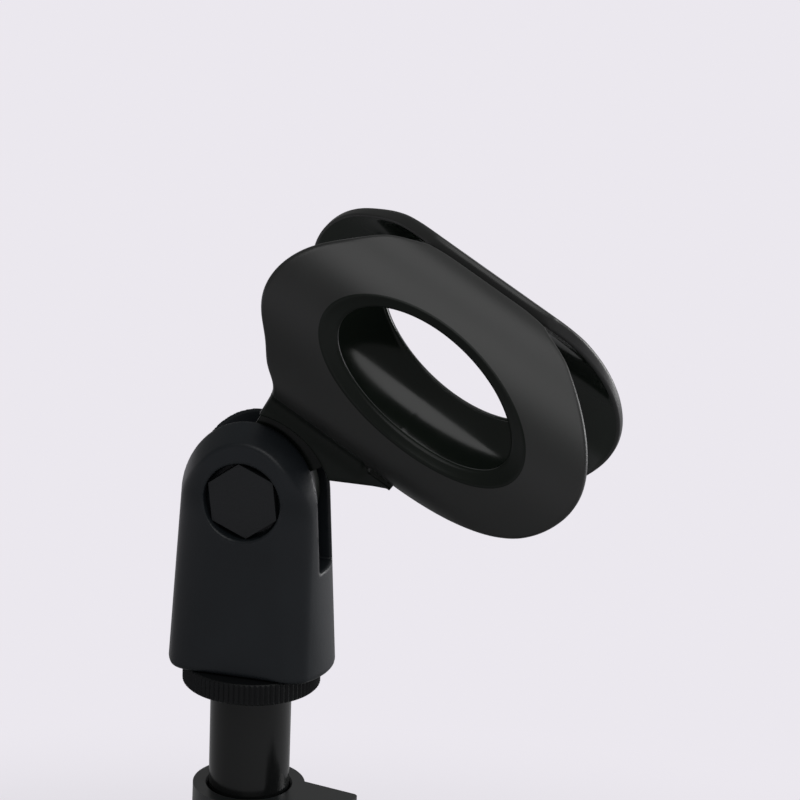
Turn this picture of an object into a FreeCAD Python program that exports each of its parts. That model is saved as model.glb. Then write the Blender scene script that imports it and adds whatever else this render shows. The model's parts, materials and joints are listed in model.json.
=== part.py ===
import FreeCAD, Part
import math
import os

import Sketcher
from FreeCAD import Matrix, Placement, Rotation, Vector

# Desktop microphone stand: round weighted base, two telescoping tubes with a height clamp, and a forked
# yoke that carries a flexible microphone clip. The stand's axis is Z, the table is at Z = 0, and the clip
# leans down towards +X. All sizes are in millimetres and degrees.

SIZES = {
    # rubber feet
    "foot_radius": 8.0,
    "foot_thickness": 4.0,
    "foot_proud": 2.0,
    "foot_bevel": 0.8,
    "foot_inset": 15.0,
    "foot_fit": 0.1,
    # cast base
    "base_radius": 78.0,
    "base_rim": 8.0,
    "base_rim_round": 3.0,
    "base_rise": 5.0,
    "base_hollow_radius": 48.0,
    "base_hollow_depth": 3.0,
    "boss_foot_radius": 23.0,
    "boss_radius": 17.0,
    "boss_height": 6.0,
    "boss_round": 1.5,
    "tube_seat_depth": 5.0,
    # bolt that holds the lower tube down
    "bolt_radius": 4.0,
    "bolt_fit": 0.3,
    "bolt_head_across": 13.0,
    "bolt_head_height": 5.3,
    "bolt_length": 24.0,
    "washer_radius": 12.0,
    "washer_thickness": 2.0,
    "washer_room": 1.0,
    "bolt_web": 4.0,
    # lower tube and its plug
    "lower_radius": 9.5,
    "lower_wall": 0.9,
    "lower_length": 134.0,
    "plug_length": 22.0,
    "glue_gap": 0.05,
    # upper tube
    "upper_radius": 8.0,
    "upper_wall": 1.2,
    "upper_reach": 22.0,
    "slide_up": 60.0,
    "bush_length": 12.0,
    "bush_plug_length": 10.0,
    "slide_gap": 0.05,
    # height clamp
    "collar_radius": 11.15,
    "collar_foot_radius": 11.6,
    "collar_above": 18.0,
    "collar_below": 18.0,
    "collar_gap": 0.25,
    "collar_bevel": 0.4,
    "lug_reach": 21.7,
    "lug_width": 12.0,
    "lug_height": 22.0,
    "lug_round": 1.2,
    "lug_angle": -12.0,
    # clamp screw, its insert, pad and knob
    "screw_radius": 3.0,
    "screw_gap": 0.05,
    "insert_wall": 1.2,
    "insert_length": 8.0,
    "pad_radius": 3.2,
    "pad_length": 3.6,
    "pad_gap": 0.1,
    "pad_press": 0.05,
    "knob_radius": 10.5,
    "knob_thickness": 11.0,
    "knob_stand_off": 2.2,
    "knob_neck_radius": 6.0,
    "knob_neck_length": 2.0,
    "knob_round": 1.4,
    "knob_lobes": 7,
    "knob_flute_radius": 3.2,
    "knob_flute_depth": 1.5,
    "screw_in_knob": 8.0,
    # threaded end of the upper tube and lock ring
    "thread_radius": 7.93,
    "thread_gap": 0.06,
    "stud_above_ring": 12.0,
    "stud_plug_length": 12.0,
    "tube_in_ring": 0.8,
    "ring_radius": 13.6,
    "ring_height": 4.3,
    "ring_bevel": 0.35,
    "ring_teeth": 80,
    "ring_tooth_depth": 0.32,
    "ring_seat_gap": 0.12,
    # yoke
    "yoke_foot_radius": 16.4,
    "yoke_pivot_radius": 14.4,
    "yoke_foot_flat": 10.6,
    "yoke_pivot_flat": 9.7,
    "yoke_edge_round": 4.4,
    "yoke_foot_bevel": 0.8,
    "pivot_rise": 35.8,
    "slot_width": 8.0,
    "slot_depth": 14.4,
    "dome_radius": 14.9,
    "dome_round": 20.0,
    "yoke_insert_wall": 1.4,
    "yoke_insert_length": 13.0,
    # pivot bolt, nut and friction washers
    "pivot_radius": 4.0,
    "pivot_gap": 0.06,
    "pivot_head_across": 13.0,
    "pivot_head_height": 2.2,
    "pivot_head_turn": 7.0,
    "pivot_head_sink": 0.9,
    "head_recess_radius": 7.8,
    "nut_height": 3.2,
    "nut_sink": 0.6,
    "nut_fit": 0.1,
    "friction_radius": 11.0,
    "friction_thickness": 0.5,
    "friction_gap": 0.06,
    # clip
    "clip_tilt": 30.3,
    "clip_half_width": 17.8,
    "clip_half_height": 22.6,
    "clip_wall": 2.6,
    "clip_mouth": 4.2,
    "wing_centre_along": 17.2,
    "wing_lift": 2.1,
    "wing_half_length": 35.5,
    "wing_half_height": 22.7,
    "wing_turn": 4.6,
    "window_centre_along": 17.2,
    "window_lift": 2.8,
    "window_half_length": 23.1,
    "window_half_height": 11.7,
    "window_turn": 6.8,
    "window_bevel": 2.3,
    "window_land": 0.5,
    "tongue_radius": 12.0,
    "neck_back": 6.8,
    "neck_half_width": 8.0,
    "neck_gap": 2.7,
    "neck_web": 3.3,
    "neck_step_along": 16.2,
    "neck_lip_lift": 1.5,
    "neck_front_height": 6.0,
}

document = FreeCAD.newDocument("microphone_stand")
sheet = document.addObject("Spreadsheet::Sheet", "sizes")
for row, (alias, number) in enumerate(SIZES.items(), start=1):
    sheet.set(f"A{row}", alias)
    sheet.set(f"B{row}", str(number))
    sheet.setAlias(f"B{row}", alias)
document.recompute()


class Length:
    """A size with its number and the sheet formula that it comes from."""

    def __init__(self, number, formula):
        self.number = number
        self.formula = formula

    def joined(self, other, sign, number):
        return Length(number, f"({self.formula} {sign} {length(other).formula})")

    def __add__(self, other):
        return self.joined(other, "+", self.number + length(other).number)

    def __sub__(self, other):
        return self.joined(other, "-", self.number - length(other).number)

    def __mul__(self, other):
        return self.joined(other, "*", self.number * length(other).number)

    def __truediv__(self, other):
        return self.joined(other, "/", self.number / length(other).number)

    def __float__(self):
        return float(self.number)


def length(value):
    """Turn a plain number into a Length and leave a Length as it is."""
    return value if isinstance(value, Length) else Length(float(value), str(float(value)))


def size(alias):
    """The Length of one cell of the sheet."""
    return Length(float(sheet.get(alias)), f"sizes.{alias}")


def bind(piece, **properties):
    """Tie properties of an object to the sheet."""
    for name, value in properties.items():
        piece.setExpression(name, length(value).formula)
    return piece


def move(piece, x=0.0, y=0.0, z=0.0, rotation=None):
    """Place an object at a point given by sizes, turned by a plain rotation."""
    point = Vector(float(x), float(y), float(z))
    piece.Placement = Placement(point, rotation or Rotation())
    for axis, value in (("x", x), ("y", y), ("z", z)):
        piece.setExpression(f"Placement.Base.{axis}", length(value).formula)
    return piece


def outline(sketch, corners):
    """Draw a closed outline through corners whose coordinates are tied to the sheet."""
    points = [Vector(float(x), float(y), 0) for x, y in corners]
    count = len(points)
    for index in range(count):
        sketch.addGeometry(Part.LineSegment(points[index], points[(index + 1) % count]), False)
    for index in range(count):
        sketch.addConstraint(Sketcher.Constraint("Coincident", index, 2, (index + 1) % count, 1))
    for index, corner in enumerate(corners):
        for kind, axis, value in (("DistanceX", -2, corner[0]), ("DistanceY", -1, corner[1])):
            value = length(value)
            if abs(value.number) < 1e-9:
                sketch.addConstraint(Sketcher.Constraint("PointOnObject", index, 1, axis))
            elif value.number > 0:
                made = sketch.addConstraint(Sketcher.Constraint(kind, -1, 1, index, 1, value.number))
                sketch.setExpression(f"Constraints[{made}]", value.formula)
            else:
                made = sketch.addConstraint(Sketcher.Constraint(kind, index, 1, -1, 1, -value.number))
                sketch.setExpression(f"Constraints[{made}]", f"-1 * {value.formula}")


def new_body(name):
    """A body whose label is the name of its node."""
    body = document.addObject("PartDesign::Body", name)
    body.Label = name
    return body


def new_sketch(body, plane, name):
    """A sketch on one of the origin planes of its own body."""
    sketch = body.newObject("Sketcher::SketchObject", name)
    support = [item for item in body.Origin.OriginFeatures if item.Role == plane][0]
    sketch.AttachmentSupport = [(support, "")]
    sketch.MapMode = "FlatFace"
    return sketch


def ring_edges(shape, radius, height):
    """Names of the circular edges of a shape with a radius about Z at a height."""
    found = []
    for index, edge in enumerate(shape.Edges, start=1):
        curve = edge.Curve
        if not isinstance(curve, Part.Circle):
            continue
        near_axis = math.hypot(curve.Center.x, curve.Center.y) < 1e-6
        if near_axis and abs(curve.Radius - radius) < 1e-6 and abs(curve.Center.z - height) < 1e-6:
            found.append(f"Edge{index}")
    return found


def turned(name, corners, rounds=()):
    """A body turned about Z from (radius, height) corners, with rounds as (radius, height, round)."""
    body = new_body(name)
    sketch = new_sketch(body, "XZ_Plane", f"{name}_profile")
    outline(sketch, corners)
    solid = body.newObject("PartDesign::Revolution", f"{name}_turned")
    solid.Profile = sketch
    solid.ReferenceAxis = (sketch, ["V_Axis"])
    solid.Angle = 360
    sketch.Visibility = False
    for number, (radius, height, amount) in enumerate(rounds, start=1):
        document.recompute()
        fillet = body.newObject("PartDesign::Fillet", f"{name}_round_{number}")
        fillet.Base = (solid, ring_edges(solid.Shape, float(radius), float(height)))
        bind(fillet, Radius=amount)
        solid = fillet
    body.Tip = solid
    return body


def cylinder(name, radius, height, x=0.0, y=0.0, z=0.0, rotation=None):
    """A plain cylinder that starts at a point and runs along its own turned Z axis."""
    piece = document.addObject("Part::Cylinder", name)
    bind(piece, Radius=radius, Height=height)
    return move(piece, x, y, z, rotation)


def box(name, along, across, height, x=0.0, y=0.0, z=0.0):
    """A box from its lowest corner."""
    piece = document.addObject("Part::Box", name)
    bind(piece, Length=along, Width=across, Height=height)
    return move(piece, x, y, z)


def hexagon(name, across_flats, height, x=0.0, y=0.0, z=0.0, rotation=None):
    """A hexagonal prism from its width across flats."""
    piece = document.addObject("Part::Prism", name)
    piece.Polygon = 6
    bind(piece, Circumradius=length(across_flats) / math.sqrt(3), Height=height)
    return move(piece, x, y, z, rotation)


def joined(name, pieces):
    """Several solids joined into one."""
    whole = document.addObject("Part::MultiFuse", name)
    whole.Shapes = pieces
    whole.Refine = True
    return whole


def cut(name, base, tools):
    """A solid less several others."""
    tool = tools[0]
    if len(tools) > 1:
        tool = joined(f"{name}_tools", tools)
    whole = document.addObject("Part::Cut", name)
    whole.Base = base
    whole.Tool = tool
    whole.Refine = True
    return whole


def shared(name, pieces):
    """What several solids have in common."""
    whole = document.addObject("Part::MultiCommon", name)
    whole.Shapes = pieces
    whole.Refine = True
    return whole


TO_X = Rotation(Vector(0, 1, 0), 90)
TO_Y = Rotation(Vector(1, 0, 0), -90)
FOOT_COUNT = 4

# Heights along the stand, from the table up.
base_bottom = size("foot_proud")
rim_top = base_bottom + size("base_rim")
boss_foot = rim_top + size("base_rise")
boss_top = boss_foot + size("boss_height")
tube_seat = boss_top - size("tube_seat_depth")
bolt_floor = tube_seat - size("bolt_web")
lower_top = tube_seat + size("lower_length")
collar_bottom = lower_top - size("collar_below")
collar_top = lower_top + size("collar_above")
ring_bottom = collar_top + size("upper_reach")
yoke_bottom = ring_bottom + size("ring_height") + size("ring_seat_gap")
pivot_height = yoke_bottom + size("pivot_rise")
upper_top = ring_bottom + size("tube_in_ring")
stud_top = ring_bottom + size("ring_height") + size("stud_above_ring")
bush_top = lower_top - size("slide_up")
lower_bore = size("lower_radius") - size("lower_wall")
upper_bore = size("upper_radius") - size("upper_wall")
collar_bore = size("upper_radius") + size("collar_gap")
foot_pocket = size("foot_radius") + size("foot_fit")
foot_circle = size("base_radius") - size("foot_inset")


def base_plate():
    """Cast base: low cone with a boss, a hollow and a bolt recess underneath, pockets for the feet."""
    hole = size("bolt_radius") + size("bolt_fit")
    recess = size("washer_radius") + size("washer_room")
    hollow_top = base_bottom + size("base_hollow_depth")
    seat_radius = size("lower_radius") + size("glue_gap")
    body = turned("base_plate", [
        (hole, bolt_floor),
        (recess, bolt_floor),
        (recess, hollow_top),
        (size("base_hollow_radius"), hollow_top),
        (size("base_hollow_radius"), base_bottom),
        (size("base_radius"), base_bottom),
        (size("base_radius"), rim_top),
        (size("boss_foot_radius"), boss_foot),
        (size("boss_radius"), boss_top),
        (seat_radius, boss_top),
        (seat_radius, tube_seat),
        (hole, tube_seat),
    ], rounds=[
        (size("base_radius"), rim_top, size("base_rim_round")),
        (size("boss_radius"), boss_top, size("boss_round")),
    ])
    document.recompute()
    sketch = new_sketch(body, "XY_Plane", "foot_pocket_outline")
    circle = Part.Circle(Vector(float(foot_circle), 0, 0), Vector(0, 0, 1), float(foot_pocket))
    sketch.addGeometry(circle, False)
    sketch.addConstraint(Sketcher.Constraint("PointOnObject", 0, 3, -1))
    reach = sketch.addConstraint(
        Sketcher.Constraint("DistanceX", -1, 1, 0, 3, float(foot_circle)))
    sketch.setExpression(f"Constraints[{reach}]", foot_circle.formula)
    wide = sketch.addConstraint(Sketcher.Constraint("Radius", 0, float(foot_pocket)))
    sketch.setExpression(f"Constraints[{wide}]", foot_pocket.formula)
    pocket = body.newObject("PartDesign::Pocket", "foot_pocket")
    pocket.Profile = sketch
    pocket.Reversed = True
    bind(pocket, Length=size("foot_thickness"))
    document.recompute()
    pattern = body.newObject("PartDesign::PolarPattern", "foot_pockets")
    pattern.Originals = [pocket]
    pattern.Axis = (sketch, ["N_Axis"])
    pattern.Angle = 360
    pattern.Occurrences = FOOT_COUNT
    body.Tip = pattern
    return body


def rubber_foot(number):
    """Round rubber foot with a bevelled sole, on the circle of feet."""
    sole = size("foot_radius") - size("foot_bevel")
    foot = turned(f"rubber_foot_{number}", [
        (0, 0),
        (sole, 0),
        (size("foot_radius"), size("foot_bevel")),
        (size("foot_radius"), size("foot_thickness")),
        (0, size("foot_thickness")),
    ])
    turn = 2 * math.pi * (number - 1) / FOOT_COUNT
    return move(foot, foot_circle * math.cos(turn), foot_circle * math.sin(turn))


def base_washer():
    """Wide washer in the recess under the base."""
    hole = size("bolt_radius") + size("bolt_fit")
    low = bolt_floor - size("washer_thickness")
    return turned("base_washer", [
        (hole, low),
        (size("washer_radius"), low),
        (size("washer_radius"), bolt_floor),
        (hole, bolt_floor),
    ])


def base_bolt():
    """Hex bolt from below through the base into the plug of the lower tube."""
    head_top = bolt_floor - size("washer_thickness")
    head = hexagon("base_bolt_head", size("bolt_head_across"), size("bolt_head_height"),
                   z=head_top - size("bolt_head_height"))
    shank = cylinder("base_bolt_shank", size("bolt_radius"), size("bolt_length"), z=head_top)
    return joined("base_bolt", [head, shank])


def tube_plug():
    """Threaded plug in the foot of the lower tube."""
    wide = lower_bore - size("glue_gap")
    bore = size("bolt_radius") + size("thread_gap")
    top = tube_seat + size("plug_length")
    return turned("tube_plug", [(bore, tube_seat), (wide, tube_seat), (wide, top), (bore, top)])


def lower_tube():
    """Outer tube, which stands in the seat of the base."""
    return turned("lower_tube", [
        (lower_bore, tube_seat),
        (size("lower_radius"), tube_seat),
        (size("lower_radius"), lower_top),
        (lower_bore, lower_top),
    ])


def upper_tube():
    """Inner tube, which slides in the lower tube and carries the yoke."""
    return turned("upper_tube", [
        (upper_bore, bush_top),
        (size("upper_radius"), bush_top),
        (size("upper_radius"), upper_top),
        (upper_bore, upper_top),
    ])


def tube_end_bush():
    """Nylon bush below the inner tube: it runs in the outer tube and stops under the collar."""
    plug = upper_bore - size("glue_gap")
    runner = lower_bore - size("slide_gap")
    low = bush_top - size("bush_length")
    return turned("tube_end_bush", [
        (0, low),
        (runner, low),
        (runner, bush_top),
        (plug, bush_top),
        (plug, bush_top + size("bush_plug_length")),
        (0, bush_top + size("bush_plug_length")),
    ])


screw_height = collar_top - size("lug_height") / 2
lug_turn = Rotation(Vector(0, 0, 1), float(size("lug_angle")))
insert_radius = size("screw_radius") + size("screw_gap") + size("insert_wall")
pad_bore = size("pad_radius") + size("pad_gap")


def clamp_collar():
    """Height clamp: round collar on the lower tube with a lug for the clamp screw, in one moulding."""
    tube_bore = size("lower_radius") + size("glue_gap")
    collar = turned("collar_round", [
        (tube_bore, collar_bottom),
        (size("collar_foot_radius"), collar_bottom),
        (size("collar_radius"), collar_top),
        (collar_bore + size("collar_bevel"), collar_top),
        (collar_bore, collar_top - size("collar_bevel")),
        (collar_bore, lower_top),
        (tube_bore, lower_top),
    ])
    lug = box("collar_lug", size("lug_reach"), size("lug_width"), size("lug_height"),
              y=size("lug_width") / -2, z=collar_top - size("lug_height"))
    document.recompute()
    rounded = document.addObject("Part::Fillet", "collar_lug_rounded")
    rounded.Base = lug
    rounded.Edges = [(index, float(size("lug_round")), float(size("lug_round")))
                     for index, edge in enumerate(lug.Shape.Edges, start=1)
                     if edge.BoundBox.XMin > float(size("lug_reach")) - 1e-6
                     and edge.BoundBox.ZMin < float(collar_top) - 1e-6]
    core = cylinder("collar_core", size("collar_radius") - size("collar_bevel"), size("lug_height"),
                    z=collar_top - size("lug_height"))
    arm = cut("collar_arm", rounded, [core])
    whole = joined("collar_with_lug", [collar, arm])
    start = upper_bore
    bore = cylinder("pad_bore", pad_bore, size("lug_reach") - start, x=start, z=screw_height,
                    rotation=TO_X)
    seat = cylinder("insert_seat", insert_radius + size("glue_gap"), size("insert_length"),
                    x=size("lug_reach") - size("insert_length"), z=screw_height, rotation=TO_X)
    node = cut("clamp_collar", whole, [bore, seat])
    return move(node, rotation=lug_turn)


def screw_insert():
    """Threaded brass insert in the end of the lug."""
    bore = size("screw_radius") + size("screw_gap")
    insert = turned("screw_insert", [
        (bore, 0),
        (insert_radius, 0),
        (insert_radius, size("insert_length")),
        (bore, size("insert_length")),
    ])
    reach = size("lug_reach") - size("insert_length")
    return along_lug(insert, reach)


def along_lug(piece, reach):
    """Place a piece, drawn along Z, on the axis of the clamp screw at a distance from the stand's axis."""
    turn = math.radians(float(size("lug_angle")))
    return move(piece, reach * math.cos(turn), reach * math.sin(turn), screw_height,
                lug_turn.multiply(TO_X))


pad_back = size("upper_radius") + size("pad_press") + size("pad_length")
knob_face = size("lug_reach") + size("knob_stand_off")


def pressure_pad():
    """Nylon pad before the screw's tip, hollowed to the round of the upper tube."""
    blank = cylinder("pad_blank", size("pad_radius"), size("upper_radius"), z=pad_back - size("upper_radius"))
    half_run = size("pad_radius") * 2
    tube = cylinder("pad_hollow", size("upper_radius") + size("pad_press"), half_run * 2,
                    x=half_run * -1, rotation=TO_X)
    node = cut("pressure_pad", blank, [tube])
    return along_lug(node, length(0))


def thumb_screw():
    """Threaded rod from the pad through the insert into the knob."""
    screw = turned("thumb_screw", [
        (0, 0),
        (size("screw_radius"), 0),
        (size("screw_radius"), knob_face + size("screw_in_knob") - pad_back),
        (0, knob_face + size("screw_in_knob") - pad_back),
    ])
    return along_lug(screw, pad_back)


def thumb_knob():
    """Moulded knob with a neck and flutes."""
    bore = size("screw_radius") + size("screw_gap")
    body = turned("thumb_knob", [
        (bore, 0),
        (size("knob_neck_radius"), 0),
        (size("knob_neck_radius"), size("knob_neck_length")),
        (size("knob_radius"), size("knob_neck_length")),
        (size("knob_radius"), size("knob_thickness")),
        (0, size("knob_thickness")),
        (0, size("screw_in_knob") + size("screw_gap")),
        (bore, size("screw_in_knob") + size("screw_gap")),
    ], rounds=[
        (size("knob_radius"), size("knob_thickness"), size("knob_round")),
        (size("knob_radius"), size("knob_neck_length"), size("knob_round")),
    ])
    document.recompute()
    sketch = new_sketch(body, "XY_Plane", "knob_flute_outline")
    centre = size("knob_radius") + size("knob_flute_radius") - size("knob_flute_depth")
    circle = Part.Circle(Vector(float(centre), 0, 0), Vector(0, 0, 1), float(size("knob_flute_radius")))
    sketch.addGeometry(circle, False)
    sketch.addConstraint(Sketcher.Constraint("PointOnObject", 0, 3, -1))
    reach = sketch.addConstraint(Sketcher.Constraint("DistanceX", -1, 1, 0, 3, float(centre)))
    sketch.setExpression(f"Constraints[{reach}]", centre.formula)
    wide = sketch.addConstraint(Sketcher.Constraint("Radius", 0, float(size("knob_flute_radius"))))
    sketch.setExpression(f"Constraints[{wide}]", size("knob_flute_radius").formula)
    flute = body.newObject("PartDesign::Pocket", "knob_flute")
    flute.Profile = sketch
    flute.Reversed = True
    bind(flute, Length=size("knob_thickness"))
    document.recompute()
    pattern = body.newObject("PartDesign::PolarPattern", "knob_flutes")
    pattern.Originals = [flute]
    pattern.Axis = (sketch, ["N_Axis"])
    pattern.Angle = 360
    pattern.Occurrences = int(float(size("knob_lobes")))
    body.Tip = pattern
    return along_lug(body, knob_face)


def thread_stud():
    """Threaded end piece: a plug in the upper tube and a thread for the ring and the yoke."""
    plug = upper_bore - size("glue_gap")
    return turned("thread_stud", [
        (0, upper_top - size("stud_plug_length")),
        (plug, upper_top - size("stud_plug_length")),
        (plug, upper_top),
        (size("thread_radius"), upper_top),
        (size("thread_radius"), stud_top),
        (0, stud_top),
    ])


def lock_ring():
    """Lock ring with fine straight knurling and bevelled edges."""
    bore = size("thread_radius") + size("thread_gap")
    mouth = size("upper_radius") + size("collar_gap")
    step = size("tube_in_ring") + size("ring_seat_gap")
    bevel = size("ring_bevel")
    blank = turned("ring_blank", [
        (mouth, 0),
        (size("ring_radius") - bevel, 0),
        (size("ring_radius"), bevel),
        (size("ring_radius"), size("ring_height") - bevel),
        (size("ring_radius") - bevel, size("ring_height")),
        (bore, size("ring_height")),
        (bore, step),
        (mouth, step),
    ])
    teeth = int(float(size("ring_teeth")))
    crest = float(size("ring_radius"))
    valley = crest - float(size("ring_tooth_depth"))
    corners = []
    for index in range(2 * teeth):
        turn = math.pi * index / teeth
        radius = valley if index % 2 else crest
        corners.append(Vector(radius * math.cos(turn), radius * math.sin(turn), 0))
    knurl = document.addObject("Part::Feature", "ring_knurl")
    knurl.Shape = Part.Face(Part.makePolygon(corners + corners[:1])).extrude(
        Vector(0, 0, float(size("ring_height"))))
    node = shared("lock_ring", [blank, knurl])
    return move(node, z=ring_bottom)


yoke_thread = size("thread_radius") + size("thread_gap")
yoke_insert_radius = yoke_thread + size("yoke_insert_wall")


def yoke_insert():
    """Threaded brass insert in the foot of the yoke."""
    top = yoke_bottom + size("yoke_insert_length")
    return turned("yoke_insert", [
        (yoke_thread, yoke_bottom),
        (yoke_insert_radius, yoke_bottom),
        (yoke_insert_radius, top),
        (yoke_thread, top),
    ])


recess_floor = size("pivot_head_sink") + size("pivot_head_height")
nut_floor = size("nut_sink") + size("nut_height")


def yoke():
    """Forked yoke: tapered round with two flats, ears domed about the pivot, slot, recesses and bore."""
    tall = size("pivot_rise") + size("dome_radius")
    taper = (size("yoke_foot_radius") - size("yoke_pivot_radius")) / size("pivot_rise")
    flat_taper = (size("yoke_foot_flat") - size("yoke_pivot_flat")) / size("pivot_rise")
    cone = document.addObject("Part::Cone", "yoke_cone")
    bind(cone, Radius1=size("yoke_foot_radius"), Radius2=size("yoke_foot_radius") - taper * tall,
         Height=tall)
    move(cone, z=size("pivot_rise") * -1)
    top_flat = size("yoke_foot_flat") - flat_taper * tall
    wedge = document.addObject("Part::Wedge", "yoke_flats")
    bind(wedge, Xmin=size("yoke_foot_flat") * -1, Xmax=size("yoke_foot_flat"),
         X2min=top_flat * -1, X2max=top_flat,
         Ymin=0, Ymax=tall,
         Zmin=size("yoke_foot_radius") * -1, Zmax=size("yoke_foot_radius"),
         Z2min=size("yoke_foot_radius") * -1, Z2max=size("yoke_foot_radius"))
    stand = Rotation(Vector(0, 0, 1), 90).multiply(Rotation(Vector(1, 0, 0), 90))
    move(wedge, z=size("pivot_rise") * -1, rotation=stand)
    block = shared("yoke_block", [cone, wedge])
    document.recompute()
    rounded = document.addObject("Part::Fillet", "yoke_rounded")
    rounded.Base = block
    rounded.Edges = [(index, float(size("yoke_edge_round")), float(size("yoke_edge_round")))
                     for index, edge in enumerate(block.Shape.Edges, start=1)
                     if edge.BoundBox.ZLength > float(tall) / 2
                     and abs(edge.BoundBox.YMax) > float(size("slot_width")) / 2]
    document.recompute()
    bevelled = document.addObject("Part::Chamfer", "yoke_bevelled")
    bevelled.Base = rounded
    low = -float(size("pivot_rise"))
    bevelled.Edges = [(index, float(size("yoke_foot_bevel")), float(size("yoke_foot_bevel")))
                      for index, edge in enumerate(rounded.Shape.Edges, start=1)
                      if edge.BoundBox.ZMax < low + 1e-3]
    dome = yoke_dome()
    reach = size("yoke_foot_radius") * 2
    above = box("yoke_above_pivot", reach, reach, reach, x=reach / -2, y=reach / -2, z=0)
    crown = cut("yoke_crown", above, [dome])
    half_slot = size("slot_width") / 2
    slot = box("yoke_slot", reach, size("slot_width"), reach, x=reach / -2, y=half_slot * -1,
               z=size("slot_depth") * -1)
    hole = cylinder("yoke_pivot_hole", size("pivot_radius") + size("pivot_gap"), reach,
                    y=reach / -2, rotation=TO_Y)
    head_room = cylinder("yoke_head_recess", size("head_recess_radius"), reach,
                         y=size("yoke_pivot_flat") * -1 + recess_floor - reach, rotation=TO_Y)
    nut_room = hexagon("yoke_nut_recess", size("pivot_head_across") + size("nut_fit") * 2, reach,
                       y=size("yoke_pivot_flat") - nut_floor, rotation=TO_Y)
    seat = cylinder("yoke_insert_seat", yoke_insert_radius + size("glue_gap"),
                    size("yoke_insert_length"), z=size("pivot_rise") * -1)
    node = cut("yoke", bevelled, [crown, slot, hole, head_room, nut_room, seat])
    return move(node, z=pivot_height)


def yoke_dome():
    """Solid of revolution about the pivot axis whose crowned rim tops the ears."""
    body = new_body("yoke_dome")
    sketch = new_sketch(body, "XY_Plane", "yoke_dome_profile")
    half = float(size("yoke_foot_radius"))
    crown = float(size("dome_radius"))
    bow = float(size("dome_round"))
    centre = crown - bow
    rim = centre + math.sqrt(bow ** 2 - half ** 2)
    sketch.addGeometry(Part.LineSegment(Vector(0, -half, 0), Vector(rim, -half, 0)), False)
    sketch.addGeometry(Part.Arc(Vector(rim, -half, 0), Vector(crown, 0, 0), Vector(rim, half, 0)), False)
    sketch.addGeometry(Part.LineSegment(Vector(rim, half, 0), Vector(0, half, 0)), False)
    sketch.addGeometry(Part.LineSegment(Vector(0, half, 0), Vector(0, -half, 0)), False)
    solid = body.newObject("PartDesign::Revolution", "yoke_dome_turned")
    solid.Profile = sketch
    solid.ReferenceAxis = (sketch, ["V_Axis"])
    solid.Angle = 360
    body.Tip = solid
    return body


half_tongue = size("slot_width") / 2 - size("friction_thickness") - size("friction_gap") * 2

# Heights in the clip's own frame, from the pivot towards the microphone.
neck_room = size("dome_radius") + size("neck_gap")
clip_floor = neck_room + size("neck_web") - size("clip_wall")
clip_axis = clip_floor + size("clip_half_height")


def pivot_bolt():
    """Bolt with a low hex head in the recess of the near ear."""
    head_face = (size("yoke_pivot_flat") - size("pivot_head_sink")) * -1
    turn = Rotation(Vector(0, 1, 0), -float(size("pivot_head_turn")))
    point_up = Rotation(Vector(0, 1, 0), 90)
    head = hexagon("pivot_bolt_head", size("pivot_head_across"), size("pivot_head_height"), y=head_face,
                   rotation=turn.multiply(point_up).multiply(TO_Y))
    shank = cylinder("pivot_bolt_shank", size("pivot_radius"),
                     size("yoke_pivot_flat") * 2 - size("pivot_head_sink") - size("nut_sink"),
                     y=head_face, rotation=TO_Y)
    node = joined("pivot_bolt", [head, shank])
    return move(node, z=pivot_height)


def pivot_nut():
    """Low nut in the hex recess of the far ear."""
    low = size("yoke_pivot_flat") - nut_floor
    blank = hexagon("pivot_nut_blank", size("pivot_head_across"), size("nut_height"), y=low,
                    rotation=TO_Y)
    bore = cylinder("pivot_nut_bore", size("pivot_radius") + size("thread_gap"), size("nut_height"),
                    y=low, rotation=TO_Y)
    node = cut("pivot_nut", blank, [bore])
    return move(node, z=pivot_height)


def friction_washer(side, direction):
    """Fibre washer between the tongue and one ear."""
    hole = size("pivot_radius") + size("pivot_gap")
    inner = half_tongue + size("friction_gap")
    washer = turned(f"friction_washer_{side}", [
        (hole, inner),
        (size("friction_radius"), inner),
        (size("friction_radius"), inner + size("friction_thickness")),
        (hole, inner + size("friction_thickness")),
    ])
    return move(washer, z=pivot_height, rotation=Rotation(Vector(1, 0, 0), -90 * direction))


def ellipse_wire(half_long, half_short, centre, long_way, normal):
    """Closed ellipse from its half axes, centre, long direction and normal."""
    ellipse = Part.Ellipse()
    ellipse.MajorRadius = half_long
    ellipse.MinorRadius = half_short
    frame = Matrix()
    short_way = normal.cross(long_way)
    frame.A11, frame.A21, frame.A31 = long_way
    frame.A12, frame.A22, frame.A32 = short_way
    frame.A13, frame.A23, frame.A33 = normal
    edge = ellipse.toShape()
    edge.Placement = Placement(frame)
    edge.translate(centre)
    return Part.Wire(edge)


def oval_prism(kind, grow=0.0):
    """Prism across the clip with the oval outline of its wings or windows."""
    turn = math.radians(float(size(f"{kind}_turn")))
    half_span = 2 * float(size("clip_half_width"))
    centre = Vector(float(size(f"{kind}_centre_along")), -half_span,
                    float(clip_axis + size(f"{kind}_lift")))
    wire = ellipse_wire(float(size(f"{kind}_half_length")) + grow,
                        float(size(f"{kind}_half_height")) + grow,
                        centre, Vector(math.cos(turn), 0, -math.sin(turn)), Vector(0, 1, 0))
    return Part.Face(wire).extrude(Vector(0, 2 * half_span, 0))


def clip_sleeve(inset):
    """Elliptical sleeve surface along the microphone's axis, a distance inside the clip's outer face."""
    half_length = float(size("wing_half_length"))
    start = float(size("wing_centre_along")) - 2 * half_length
    section = ellipse_wire(float(size("clip_half_height")) - inset, float(size("clip_half_width")) - inset,
                           Vector(start, 0, float(clip_axis)),
                           Vector(0, 0, 1), Vector(1, 0, 0))
    return section, Vector(4 * half_length, 0, 0)


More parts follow.
